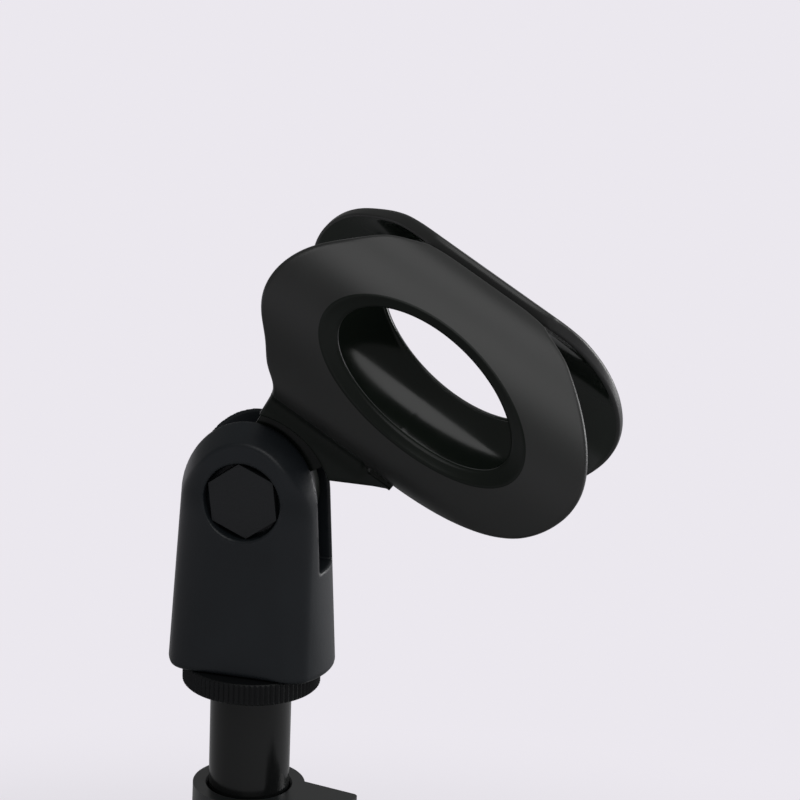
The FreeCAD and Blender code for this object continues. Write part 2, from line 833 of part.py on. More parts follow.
def outer_rims(wing):
    """Closed edges of a wing that reach its outer face: the rim of its window."""
    reach = float(size("clip_half_width")) - float(size("clip_wall")) / 2
    return [edge for edge in wing.Edges
            if edge.isClosed() and max(-edge.BoundBox.YMin, edge.BoundBox.YMax) > reach]


def clip_wings():
    """Two wings: the sleeve's surface cut to the oval and the mouth, then given its wall square to it."""
    section, run = clip_sleeve(0.0)
    mouth = float(size("clip_mouth"))
    tall = 2 * float(size("clip_half_height"))
    corner = section.BoundBox.Center + Vector(0, -mouth / 2, 0)
    gap = Part.makeBox(run.x, mouth, tall, corner)
    skin = section.extrude(run).common(oval_prism("wing")).cut(gap)
    bevel = float(size("window_bevel"))
    window = oval_prism("window", -bevel)
    depth = float(size("clip_wall") - size("window_land"))
    wings = []
    for face in skin.Faces:
        wing = face.makeOffsetShape(float(size("clip_wall")), 1e-3, fill=True).cut(window)
        wings.append(wing.makeChamfer(bevel, depth, outer_rims(wing)))
    return wings


def clip_neck():
    """Neck under the wings and the tongue between the ears, hollowed round the ears and the microphone."""
    back = -float(size("neck_back"))
    step = float(size("neck_step_along"))
    lip = float(clip_floor + size("neck_lip_lift"))
    low = float(size("neck_front_height"))
    half_width = float(size("neck_half_width"))
    top = float(clip_axis) - float(size("clip_half_height")) / 2
    tilt = math.radians(float(size("clip_tilt")))

    tip = (lip * math.cos(tilt) - low) / math.sin(tilt)
    corners = [Vector(back, 0, 0), Vector(back, 0, top), Vector(step, 0, top), Vector(step, 0, lip),
               Vector(tip, 0, lip), Vector(0, 0, low / math.cos(tilt))]
    side = Part.Face(Part.makePolygon(corners + corners[:1]))

    def slab(half_thickness):
        """The neck's side view given a thickness about the middle of the clip."""
        return side.translated(Vector(0, -half_thickness, 0)).extrude(Vector(0, 2 * half_thickness, 0))

    across = Vector(0, 1, 0)
    room = Part.makeCylinder(float(neck_room), 4 * half_width, across * (-2 * half_width), across)
    section, run = clip_sleeve(float(size("clip_wall")))
    inside = Part.Face(section).extrude(run)
    tongue_half = float(half_tongue)
    disc = Part.makeCylinder(float(size("tongue_radius")), 2 * tongue_half, across * -tongue_half, across)
    return slab(half_width).cut(room).fuse([slab(tongue_half), disc]).cut(inside)


def clip():
    """Flexible clip: wings, neck and tongue in one moulding, hung on the pivot."""
    hole_radius = float(size("pivot_radius")) + float(size("pivot_gap"))
    reach = 2 * float(size("slot_width"))
    hole = Part.makeCylinder(hole_radius, reach, Vector(0, -reach / 2, 0), Vector(0, 1, 0))
    solid = clip_neck().fuse(clip_wings()).cut(hole).removeSplitter()
    node = document.addObject("Part::Feature", "clip")
    node.Shape = solid
    return move(node, z=pivot_height, rotation=Rotation(Vector(0, 1, 0), float(size("clip_tilt"))))


nodes = [
    base_plate(),
    *[rubber_foot(number) for number in range(1, FOOT_COUNT + 1)],
    base_washer(),
    base_bolt(),
    tube_plug(),
    lower_tube(),
    clamp_collar(),
    screw_insert(),
    pressure_pad(),
    thumb_screw(),
    thumb_knob(),
    upper_tube(),
    tube_end_bush(),
    thread_stud(),
    lock_ring(),
    yoke_insert(),
    yoke(),
    pivot_bolt(),
    pivot_nut(),
    friction_washer("near", -1),
    friction_washer("far", 1),
    clip(),
]
document.recompute()

for item in document.Objects:
    if "Invalid" in item.State or "Error" in item.State:
        raise RuntimeError(f"{item.Name} did not recompute: {item.State}")
for node in nodes:
    if node.Shape.isNull() or not node.Shape.isValid():
        raise RuntimeError(f"{node.Label} has no valid shape")

os.makedirs("parts", exist_ok=True)
for node in nodes:
    node.Shape.exportStep(f"parts/{node.Label}.step")
    print(node.Label, "solids", len(node.Shape.Solids), "volume", round(node.Shape.Volume, 1))
print("pivot height", round(float(pivot_height), 2), "collar top", round(float(collar_top), 2))
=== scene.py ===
"""Desktop microphone stand: camera, studio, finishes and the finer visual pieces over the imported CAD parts.

The stand's axis is Z, the table is at Z = 0 and the clip leans down towards +X. Lengths in the classes are in
millimetres and are turned into metres when a mesh is made.
"""
from __future__ import annotations

import json
import logging
import math
from dataclasses import dataclass, field
from enum import Enum

import bpy
import numpy as np
from mathutils import Matrix, Vector

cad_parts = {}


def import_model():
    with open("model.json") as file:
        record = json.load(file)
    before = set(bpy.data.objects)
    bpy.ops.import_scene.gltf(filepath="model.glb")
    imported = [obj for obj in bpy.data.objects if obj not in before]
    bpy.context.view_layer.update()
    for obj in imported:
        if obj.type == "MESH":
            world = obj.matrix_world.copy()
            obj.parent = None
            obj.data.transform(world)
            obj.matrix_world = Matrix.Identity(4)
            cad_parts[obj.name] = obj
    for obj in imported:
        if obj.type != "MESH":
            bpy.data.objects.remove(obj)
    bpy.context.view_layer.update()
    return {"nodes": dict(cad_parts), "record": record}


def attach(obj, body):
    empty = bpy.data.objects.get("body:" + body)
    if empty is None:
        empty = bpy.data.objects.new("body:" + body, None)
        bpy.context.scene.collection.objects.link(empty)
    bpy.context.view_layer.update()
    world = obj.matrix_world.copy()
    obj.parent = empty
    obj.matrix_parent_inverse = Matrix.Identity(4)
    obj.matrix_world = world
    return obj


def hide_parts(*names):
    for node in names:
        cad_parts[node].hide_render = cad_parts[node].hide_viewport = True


LOG = logging.getLogger("microphone_stand")
MM = 0.001
TINY = 1e-3
FAR = 1e3
PATCH_LOW, PATCH_HIGH = 0.3, 0.7
PATCH_DETAIL, GRAIN_DETAIL = 3.0, 2.0


class Grain(Enum):
    """How fine the moulded or sprayed surface is."""

    SMOOTH = 0.0
    FINE = 1.0
    COARSE = 2.0


@dataclass(frozen=True)
class Finish:
    """A procedural finish: two close tones, a roughness band, and a fine grain."""

    name: str
    tone: tuple[float, float, float]
    roughness: float
    metallic: float = 0.0
    specular: float = 0.5
    tone_spread: float = 0.15
    roughness_spread: float = 0.05
    grain: Grain = Grain.SMOOTH
    grain_scale: float = 1500.0
    grain_height: float = 0.00002
    patch_scale: float = 60.0

    def material(self) -> bpy.types.Material:
        """Make the Blender material.

        Returns:
            A material on Object coordinates: slow noise moves tone and roughness, fast noise is the grain.
        """
        made = bpy.data.materials.new(self.name)
        made.use_nodes = True
        tree = made.node_tree
        shader = next(node for node in tree.nodes if node.type == "BSDF_PRINCIPLED")
        shader.inputs["Metallic"].default_value = self.metallic
        shader.inputs["Specular IOR Level"].default_value = self.specular
        place = tree.nodes.new("ShaderNodeTexCoord")
        patches = tree.nodes.new("ShaderNodeTexNoise")
        patches.inputs["Scale"].default_value = self.patch_scale
        patches.inputs["Detail"].default_value = PATCH_DETAIL
        tree.links.new(place.outputs["Object"], patches.inputs["Vector"])
        tones = tree.nodes.new("ShaderNodeValToRGB")
        low = [channel * (1.0 - self.tone_spread) for channel in self.tone]
        high = [channel * (1.0 + self.tone_spread) for channel in self.tone]
        tones.color_ramp.elements[0].position = PATCH_LOW
        tones.color_ramp.elements[0].color = (*low, 1.0)
        tones.color_ramp.elements[1].position = PATCH_HIGH
        tones.color_ramp.elements[1].color = (*high, 1.0)
        tree.links.new(patches.outputs["Fac"], tones.inputs["Fac"])
        tree.links.new(tones.outputs["Color"], shader.inputs["Base Color"])
        band = tree.nodes.new("ShaderNodeMapRange")
        band.inputs["From Min"].default_value = PATCH_LOW
        band.inputs["From Max"].default_value = PATCH_HIGH
        band.inputs["To Min"].default_value = self.roughness - self.roughness_spread
        band.inputs["To Max"].default_value = self.roughness + self.roughness_spread
        tree.links.new(patches.outputs["Fac"], band.inputs["Value"])
        tree.links.new(band.outputs["Result"], shader.inputs["Roughness"])
        if self.grain is not Grain.SMOOTH:
            speckle = tree.nodes.new("ShaderNodeTexNoise")
            speckle.inputs["Scale"].default_value = self.grain_scale / self.grain.value
            speckle.inputs["Detail"].default_value = GRAIN_DETAIL
            tree.links.new(place.outputs["Object"], speckle.inputs["Vector"])
            bump = tree.nodes.new("ShaderNodeBump")
            bump.inputs["Strength"].default_value = 1.0
            bump.inputs["Distance"].default_value = self.grain_height * self.grain.value
            tree.links.new(speckle.outputs["Fac"], bump.inputs["Height"])
            tree.links.new(bump.outputs["Normal"], shader.inputs["Normal"])
        return made


FINISHES: dict[str, Finish] = {
    "clip_plastic": Finish("clip_satin", (0.017, 0.0175, 0.0172), 0.37, specular=0.27, tone_spread=0.2,
                           patch_scale=25.0, grain=Grain.FINE, grain_scale=2500.0, grain_height=0.000004),
    # Painted shade: a darker tone than the satin, so the window bevels, the neck and the tongue look as dark as
    # they do in shade.
    "clip_painted_shade": Finish("clip_painted_shade", (0.0055, 0.0072, 0.0058), 0.3, specular=0.12, roughness_spread=0.03),
    "clip_inside": Finish("clip_polished", (0.0085, 0.0115, 0.009), 0.12, specular=0.24, roughness_spread=0.03),
    "yoke_plastic": Finish("yoke_grained", (0.0097, 0.0117, 0.0139), 0.40, specular=0.19, grain=Grain.FINE,
                           grain_scale=2200.0, grain_height=0.000012),
    "ring_plastic": Finish("ring_black", (0.004, 0.0045, 0.005), 0.45, specular=0.15, grain=Grain.FINE,
                           grain_height=0.000005),
    "knob_plastic": Finish("knob_black", (0.009, 0.0095, 0.01), 0.45, grain=Grain.FINE, grain_height=0.000008),
    "collar_plastic": Finish("collar_satin", (0.011, 0.012, 0.0125), 0.32, specular=0.5, grain=Grain.FINE,
                             grain_height=0.000006),
    "bolt_black": Finish("bolt_grained", (0.009, 0.010, 0.0115), 0.5, specular=0.25, grain=Grain.COARSE,
                         grain_scale=2600.0, grain_height=0.00002),
    "tube_black": Finish("tube_gloss", (0.004, 0.0045, 0.0045), 0.2, specular=0.35, roughness_spread=0.03),
    "base_black": Finish("base_powder_coat", (0.012, 0.0125, 0.013), 0.55, grain=Grain.COARSE,
                         grain_scale=1400.0, grain_height=0.00003),
    "rubber": Finish("foot_rubber", (0.013, 0.013, 0.013), 0.75, grain=Grain.FINE),
    "zinc_steel": Finish("zinc_steel", (0.52, 0.53, 0.55), 0.32, metallic=1.0, tone_spread=0.06),
    "brass": Finish("turned_brass", (0.68, 0.5, 0.22), 0.3, metallic=1.0, tone_spread=0.06),
    "nylon": Finish("natural_nylon", (0.62, 0.61, 0.56), 0.5, tone_spread=0.05),
    "fibre": Finish("washer_fibre", (0.03, 0.022, 0.018), 0.7, grain=Grain.FINE),
}


@dataclass
class Camera:
    """The photograph's camera: position, viewing angle, roll and focal length."""

    azimuth: float = 14.85
    elevation: float = 18.14
    roll: float = 2.16
    position: tuple[float, float, float] = (193.0, -621.7, 462.2)
    focal_px: float = 3562.96
    image_px: float = 800.0
    sensor: float = 36.0

    def build(self) -> None:
        """Make the camera and set it as the scene's own."""
        turn, rise, lean = (math.radians(a) for a in (self.azimuth, self.elevation, self.roll))
        back = Vector((math.sin(turn) * math.cos(rise), -math.cos(turn) * math.cos(rise), math.sin(rise)))
        right = Vector((math.cos(turn), math.sin(turn), 0.0))
        up = back.cross(right)
        tilted_right = math.cos(lean) * right + math.sin(lean) * up
        tilted_up = math.cos(lean) * up - math.sin(lean) * right
        data = bpy.data.cameras.new("camera")
        data.sensor_width = self.sensor
        data.lens = self.focal_px / self.image_px * self.sensor
        data.clip_start = 0.05
        data.clip_end = 50.0
        camera = bpy.data.objects.new("camera", data)
        axes = Matrix((tilted_right, tilted_up, back)).transposed().to_4x4()
        camera.matrix_world = Matrix.Translation(Vector(self.position) * MM) @ axes
        bpy.context.scene.collection.objects.link(camera)
        bpy.context.scene.camera = camera


@dataclass
class Softbox:
    """One flat area light that looks at a point of the stand."""

    name: str
    place: tuple[float, float, float]
    size: tuple[float, float]
    power: float
    target: tuple[float, float, float] = (0.02, 0.0, 0.25)

    def build(self) -> None:
        """Make the light, turned towards its target."""
        data = bpy.data.lights.new(self.name, "AREA")
        data.shape = "RECTANGLE"
        data.size, data.size_y = self.size
        data.energy = self.power
        lamp = bpy.data.objects.new(self.name, data)
        spot = Vector(self.place)
        aim = (Vector(self.target) - spot).to_track_quat("-Z", "Y")
        lamp.matrix_world = Matrix.Translation(spot) @ aim.to_matrix().to_4x4()
        bpy.context.scene.collection.objects.link(lamp)


@dataclass
class Studio:
    """Pale floor, soft lights and an even surrounding."""

    floor_half: float = 12.0
    floor_tone: tuple[float, float, float] = (0.80, 0.79, 0.83)
    seen_tone: tuple[float, float, float] = (0.832, 0.806, 0.858)
    bounce_tone: tuple[float, float, float] = (0.46, 0.46, 0.47)
    camera_fade: tuple[float, float] = (0.22, 0.42)
    mirror_fade: tuple[float, float] = (0.5, 1.0)
    surround: float = 0.26
    softboxes: list[Softbox] = field(default_factory=lambda: [
        Softbox("front_box", (0.41, -0.83, 1.17), (1.1, 0.8), 7.5),
        Softbox("top_box", (0.60, 0.05, 1.44), (0.85, 0.75), 4.8),
        Softbox("back_right_box", (1.5, 1.2, 0.40), (0.8, 1.0), 26.0),
    ])

    def floor_material(self) -> bpy.types.Material:
        """Make the floor's material.

        Returns:
            Plain diffuse near the stand; further out the camera and reflections see an even pale tone.
        """
        made = bpy.data.materials.new("studio_floor")
        made.use_nodes = True
        tree = made.node_tree
        tree.nodes.clear()
        out = tree.nodes.new("ShaderNodeOutputMaterial")
        shown = tree.nodes.new("ShaderNodeBsdfDiffuse")
        shown.inputs["Color"].default_value = (*self.floor_tone, 1.0)
        plain = tree.nodes.new("ShaderNodeBsdfDiffuse")
        plain.inputs["Color"].default_value = (*self.bounce_tone, 1.0)
        seen = tree.nodes.new("ShaderNodeEmission")
        seen.inputs["Color"].default_value = (*self.seen_tone, 1.0)
        place = tree.nodes.new("ShaderNodeTexCoord")
        reach = tree.nodes.new("ShaderNodeVectorMath")
        reach.operation = "LENGTH"
        tree.links.new(place.outputs["Object"], reach.inputs[0])
        fades = []
        for near, far in (self.camera_fade, self.mirror_fade):
            fade = tree.nodes.new("ShaderNodeMapRange")
            fade.interpolation_type = "SMOOTHSTEP"
            fade.inputs["From Min"].default_value = near
            fade.inputs["From Max"].default_value = far
            tree.links.new(reach.outputs["Value"], fade.inputs["Value"])
            fades.append(fade)
        rays = tree.nodes.new("ShaderNodeLightPath")
        first = tree.nodes.new("ShaderNodeMixShader")
        tree.links.new(rays.outputs["Is Camera Ray"], first.inputs["Fac"])
        tree.links.new(plain.outputs["BSDF"], first.inputs[1])
        tree.links.new(shown.outputs["BSDF"], first.inputs[2])
        shares = []
        for ray, fade in zip(("Is Camera Ray", "Is Glossy Ray"), fades):
            part = tree.nodes.new("ShaderNodeMath")
            part.operation = "MULTIPLY"
            tree.links.new(rays.outputs[ray], part.inputs[0])
            tree.links.new(fade.outputs["Result"], part.inputs[1])
            shares.append(part)
        share = tree.nodes.new("ShaderNodeMath")
        share.operation = "MAXIMUM"
        tree.links.new(shares[0].outputs["Value"], share.inputs[0])
        tree.links.new(shares[1].outputs["Value"], share.inputs[1])
        second = tree.nodes.new("ShaderNodeMixShader")
        tree.links.new(share.outputs["Value"], second.inputs["Fac"])
        tree.links.new(first.outputs["Shader"], second.inputs[1])
        tree.links.new(seen.outputs["Emission"], second.inputs[2])
        tree.links.new(second.outputs["Shader"], out.inputs["Surface"])
        return made

    def build(self) -> None:
        """Make the floor, the surrounding light and the softboxes."""
        half = self.floor_half
        mesh = bpy.data.meshes.new("studio_floor")
        mesh.from_pydata([(-half, -half, 0), (half, -half, 0), (half, half, 0), (-half, half, 0)], [],
                         [(0, 1, 2, 3)])
        floor = bpy.data.objects.new("studio_floor", mesh)
        mesh.materials.append(self.floor_material())
        bpy.context.scene.collection.objects.link(floor)
        world = bpy.data.worlds.new("studio")
        bpy.context.scene.world = world
        world.use_nodes = True
        tree = world.node_tree
        tree.nodes.clear()
        out = tree.nodes.new("ShaderNodeOutputWorld")
        even = tree.nodes.new("ShaderNodeBackground")
        even.inputs["Color"].default_value = (1.0, 1.0, 1.0, 1.0)
        even.inputs["Strength"].default_value = self.surround
        seen = tree.nodes.new("ShaderNodeBackground")
        seen.inputs["Color"].default_value = (*self.seen_tone, 1.0)
        rays = tree.nodes.new("ShaderNodeLightPath")
        mix = tree.nodes.new("ShaderNodeMixShader")
        tree.links.new(rays.outputs["Is Camera Ray"], mix.inputs["Fac"])
        tree.links.new(even.outputs["Background"], mix.inputs[1])
        tree.links.new(seen.outputs["Background"], mix.inputs[2])
        tree.links.new(mix.outputs["Shader"], out.inputs["Surface"])
        for softbox in self.softboxes:
            softbox.build()


def grid_faces(rows: int, columns: int, row_loop: bool = True) -> np.ndarray:
    """Quads of a grid whose vertex (row, column) has the index row * columns + column.

    The last column joins the first.

    Args:
        rows: Number of rows.
        columns: Number of columns.
        row_loop: Whether the last row joins the first.

    Returns:
        Array of (faces, 4) vertex indices.
    """
    row = np.arange(rows if row_loop else rows - 1)[:, None]
    column = np.arange(columns)[None, :]
    next_row = (row + 1) % rows
    next_column = (column + 1) % columns
    quads = np.stack([row * columns + column, row * columns + next_column,
                      next_row * columns + next_column, next_row * columns + column], axis=-1)
    return quads.reshape(-1, 4)


def make_mesh(name: str, points: np.ndarray, quads: np.ndarray,
              finish: np.ndarray | None = None) -> bpy.types.Mesh:
    """Put numpy arrays of points in metres and quads into a new mesh, shaded smooth.

    Args:
        name: Name of the mesh.
        points: (n, 3) corners.
        quads: (m, 4) vertex indices.
        finish: Material index of each quad, where there is more than one.

    Returns:
        The mesh.
    """
    mesh = bpy.data.meshes.new(name)
    mesh.vertices.add(len(points))
    mesh.vertices.foreach_set("co", points.astype(np.float32).ravel())
    mesh.loops.add(quads.size)
    mesh.loops.foreach_set("vertex_index", quads.astype(np.int32).ravel())
    mesh.polygons.add(len(quads))
    mesh.polygons.foreach_set("loop_start", np.arange(0, quads.size, 4, dtype=np.int32))
    mesh.update(calc_edges=True)
    if finish is not None:
        mesh.polygons.foreach_set("material_index", finish.astype(np.int32))
    mesh.validate()
    mesh.polygons.foreach_set("use_smooth", np.ones(len(mesh.polygons), dtype=bool))
    return mesh


def smooth_cap(first: np.ndarray, second: np.ndarray, width: float) -> np.ndarray:
    """Smaller of two arrays with the corner between them rounded over a width.

    The smaller value less a quarter of (width - difference) squared over the width, where they are closer than
    the width.
    """
    near = np.clip(width - np.abs(first - second), 0.0, None)
    return np.minimum(first, second) - near ** 2 / (4.0 * width)


@dataclass
class ClipShell:
    """The clip's wings: two shells of an oval section, cut by slanted outlines, with bevelled windows.

    Its own axes are `along` (the microphone's axis, down the slope), `across` (Y) and `up`, from the pivot.
    """

    pivot_height: float = 230.22
    tilt: float = 30.3
    half_width: float = 17.8
    half_height: float = 22.6
    axis_height: float = 40.9
    wall: float = 2.6
    mouth: float = 4.2
    wing_centre: tuple[float, float] = (17.2, 43.0)
    wing_half: tuple[float, float] = (35.5, 22.7)
    wing_turn: float = 4.6
    mouth_corner: float = 9.0
    skirt_back: float = -6.8
    skirt_foot: float = 7.2
    notch_round: float = 5.0
    trims: tuple[tuple[float, float, float], ...] = (
        (197.0, 10.0, -1.1), (212.0, 9.0, 1.0), (347.0, 12.0, -0.6), (151.0, 9.0, -0.4), (270.0, 9.0, -1.6))
    window_centre: tuple[float, float] = (17.2, 43.7)
    window_outer: tuple[float, float] = (23.1, 11.7)
    window_inner: tuple[float, float] = (19.9, 9.4)
    window_turn: float = 6.8
    window_land: float = 1.25
    edge_outer: float = 0.9
    edge_inner: float = 0.6
    rim_round: float = 0.4
    bevel_bow: float = 0.12
    crowding: float = 0.32
    overshoot: float = 4.0
    columns: int = 360
    face_rows: int = 22
    bevel_rows: int = 5
    arc_rows: int = 5
    inside_start: int = 0
    bevel_end: int = 0
    inside_end: int = 0

    def to_row(self, local: np.ndarray) -> np.ndarray:
        """Turn (along, across, up) points in millimetres into the row frame in metres.

        Along turns down by the tilt and up turns towards +X by the same angle; then the pivot's height is added.
        """
        tilt = math.radians(self.tilt)
        along, across, up = local[..., 0], local[..., 1], local[..., 2]
        return MM * np.stack([along * math.cos(tilt) + up * math.sin(tilt), across,
                              self.pivot_height - along * math.sin(tilt) + up * math.cos(tilt)], axis=-1)

    def section(self) -> tuple[np.ndarray, np.ndarray]:
        """Tables over the section ellipse: angle, and arc length from its widest point.

        Arc length is the running sum of short chords of the ellipse.
        """
        angle = np.linspace(-math.pi / 2, math.pi / 2, 4001)
        across = self.half_width * np.cos(angle)
        up = self.half_height * np.sin(angle)
        arc = np.concatenate([[0.0], np.cumsum(np.hypot(np.diff(across), np.diff(up)))])
        return angle, arc - np.interp(0.0, angle, arc)

    def skin(self, along: np.ndarray, arc: np.ndarray, depth: np.ndarray, side: int) -> np.ndarray:
        """Points of a wing at an arc length and a depth below its outer surface.

        The point of the ellipse at that arc length, less the depth along the ellipse's normal.
        """
        angle_table, arc_table = self.section()
        angle = np.interp(arc, arc_table, angle_table)
        normal = np.stack([np.cos(angle) / self.half_width, np.sin(angle) / self.half_height])
        normal = normal / np.hypot(*normal)
        across = self.half_width * np.cos(angle) - depth * normal[0]
        up = self.axis_height + self.half_height * np.sin(angle) - depth * normal[1]
        return np.stack(np.broadcast_arrays(along, side * across, up), axis=-1)

    def arc_of_height(self, up: np.ndarray, depth: float) -> np.ndarray:
        """Arc length at which the surface at a depth has a height."""
        angle, arc = self.section()
        slope = np.hypot(np.cos(angle) / self.half_width, np.sin(angle) / self.half_height)
        height = self.axis_height + self.half_height * np.sin(angle) - depth * np.sin(angle) / (
            self.half_height * slope)
        return np.interp(up, height, arc)

    def oval(self, centre: tuple[float, float], half: tuple[float, float], turn: float,
             angles: np.ndarray) -> tuple[np.ndarray, np.ndarray]:
        """Points (along, up) of a turned ellipse at its own angles."""
        lean = math.radians(turn)
        long_way, short_way = half[0] * np.cos(angles), half[1] * np.sin(angles)
        return (centre[0] + long_way * math.cos(lean) + short_way * math.sin(lean),
                centre[1] - long_way * math.sin(lean) + short_way * math.cos(lean))

    def polar(self, along: np.ndarray, arc: np.ndarray, centre: tuple[float, float],
              directions: np.ndarray) -> np.ndarray:
        """Distance of a closed outline from a centre in given directions, by interpolation."""
        angle = np.unwrap(np.arctan2(arc - centre[1], along - centre[0]))
        reach = np.hypot(along - centre[0], arc - centre[1])
        order = np.argsort(angle % (2 * math.pi))
        return np.interp(directions, (angle % (2 * math.pi))[order], reach[order], period=2 * math.pi)

    def wing(self, side: int) -> tuple[np.ndarray, np.ndarray]:
        """One wing as a closed grid: its rows run round the wall's section, its columns round the window.

        Args:
            side: -1 for the near wing, 1 for the far one.

        Returns:
            Points in the row frame and quads.
        """
        dense = np.linspace(0.0, 2 * math.pi, 2001)[:-1]
        centre_along = self.window_centre[0]
        centre = (centre_along, float(self.arc_of_height(np.array(self.window_centre[1]), 0.0)))
        directions = np.linspace(0.0, 2 * math.pi, self.columns + 1)[:-1]
        directions = directions - self.crowding * np.sin(2 * directions)

        wide, high = self.oval(self.wing_centre, self.wing_half, self.wing_turn, dense)
        top = self.axis_height + self.half_height
        past = np.clip(high - top, 0.0, None)
        wing_arc = self.arc_of_height(np.minimum(high, top), 0.0) + self.overshoot * past
        reach = self.polar(wide, wing_arc, centre, directions)
        mouth_angle = math.acos(self.mouth / 2 / self.half_width)
        angle_table, arc_table = self.section()
        mouth_arc = float(np.interp(mouth_angle, angle_table, arc_table))
        rise = np.sin(directions)
        to_mouth = np.where(rise > TINY, (mouth_arc - centre[1]) / np.maximum(rise, TINY), FAR)
        reach = smooth_cap(reach, to_mouth, self.mouth_corner)
        for middle, spread, amount in self.trims:
            away = (np.degrees(directions) - middle + 180.0) % 360.0 - 180.0
            reach = reach + amount * np.exp(-(away / spread) ** 2)
        root_arc = float(np.interp(-math.acos(self.skirt_foot / self.half_width), angle_table, arc_table))
        back, fall = -np.cos(directions), -np.sin(directions)
        to_back = (centre[0] - self.skirt_back) / np.maximum(back, TINY)
        to_root = (centre[1] - root_arc) / np.maximum(fall, TINY)
        skirt = np.where((back > TINY) & (fall > TINY), np.minimum(to_back, to_root), 0.0)
        reach = -smooth_cap(-reach, -skirt, self.notch_round)
        outline = np.stack([centre[0] + reach * np.cos(directions), centre[1] + reach * np.sin(directions)])

        wide, high = self.oval(self.window_centre, self.window_outer, self.window_turn, dense)
        reach = self.polar(wide, self.arc_of_height(high, 0.0), centre, directions)
        rim = np.stack([centre[0] + reach * np.cos(directions), centre[1] + reach * np.sin(directions)])
        wide, high = self.oval(self.window_centre, self.window_inner, self.window_turn, dense)
        reach = self.polar(wide, self.arc_of_height(high, self.wall), centre, directions)
        inner = np.stack([centre[0] + reach * np.cos(directions), centre[1] + reach * np.sin(directions)])

        def inward(loop: np.ndarray) -> np.ndarray:
            """Unit normals of a loop in the (along, arc) plane, pointing to its inside."""
            step = np.roll(loop, -1, axis=1) - np.roll(loop, 1, axis=1)
            step = step / np.hypot(*step)
            return np.stack([-step[1], step[0]])

        edge_in, rim_out = inward(outline), -inward(rim)
        rows: list[np.ndarray] = []

        def add(plane: np.ndarray, depth: np.ndarray | float) -> None:
            """Add one row from its place in the (along, arc) plane and its depth."""
            depths = np.broadcast_to(np.asarray(depth, dtype=float), plane.shape[1:])
            rows.append(self.skin(plane[0], plane[1], depths, side))

        quarter = np.linspace(0.0, math.pi / 2, self.arc_rows + 1)
        for turn in quarter:
            inset = self.edge_outer * (1 - math.cos(turn))
            drop = self.edge_outer * (1 - math.sin(turn))
            add(outline + edge_in * inset, drop)
        start = outline + edge_in * self.edge_outer
        finish = rim + rim_out * self.rim_round
        for share in np.linspace(0.0, 1.0, self.face_rows + 2)[1:-1]:
            add(start * (1 - share) + finish * share, 0.0)
        self.inside_start = len(rows)
        bevel_depth = self.wall - self.window_land
        bevel_slope = math.atan2(bevel_depth, float(np.mean(np.hypot(*(rim - inner)))))
        for share in np.linspace(0.0, 1.0, self.arc_rows + 1):
            turn = bevel_slope * share
            add(rim + rim_out * self.rim_round * (1 - math.sin(turn) / math.sin(bevel_slope)),
                self.rim_round * (1 - math.cos(turn)) * 0.5)
        for share in np.linspace(0.0, 1.0, self.bevel_rows + 1)[1:]:
            bow = self.bevel_bow * math.sin(math.pi * share)
            add(rim * (1 - share) + inner * share + rim_out * bow,
                self.rim_round * (1 - math.cos(bevel_slope)) * 0.5 * (1 - share) + bevel_depth * share)
        inner_out = -inward(inner)
        self.bevel_end = len(rows)
        for turn in quarter:
            add(inner + inner_out * self.window_land / 2 * (1 - math.cos(turn)),
                self.wall - self.window_land / 2 * (1 - math.sin(turn)))
        start = inner + inner_out * self.window_land / 2
        finish = outline + edge_in * self.edge_inner
        for share in np.linspace(0.0, 1.0, self.face_rows + 2)[1:-1]:
            add(start * (1 - share) + finish * share, self.wall)
        self.inside_end = len(rows)
        for turn in quarter[::-1]:
            add(outline + edge_in * self.edge_inner * (1 - math.cos(turn)),
                self.wall - self.edge_inner * (1 - math.sin(turn)))
        grid = np.stack(rows)
        quads = grid_faces(len(rows), self.columns)
        if side > 0:
            quads = quads[:, ::-1]
        return self.to_row(grid.reshape(-1, 3)), quads


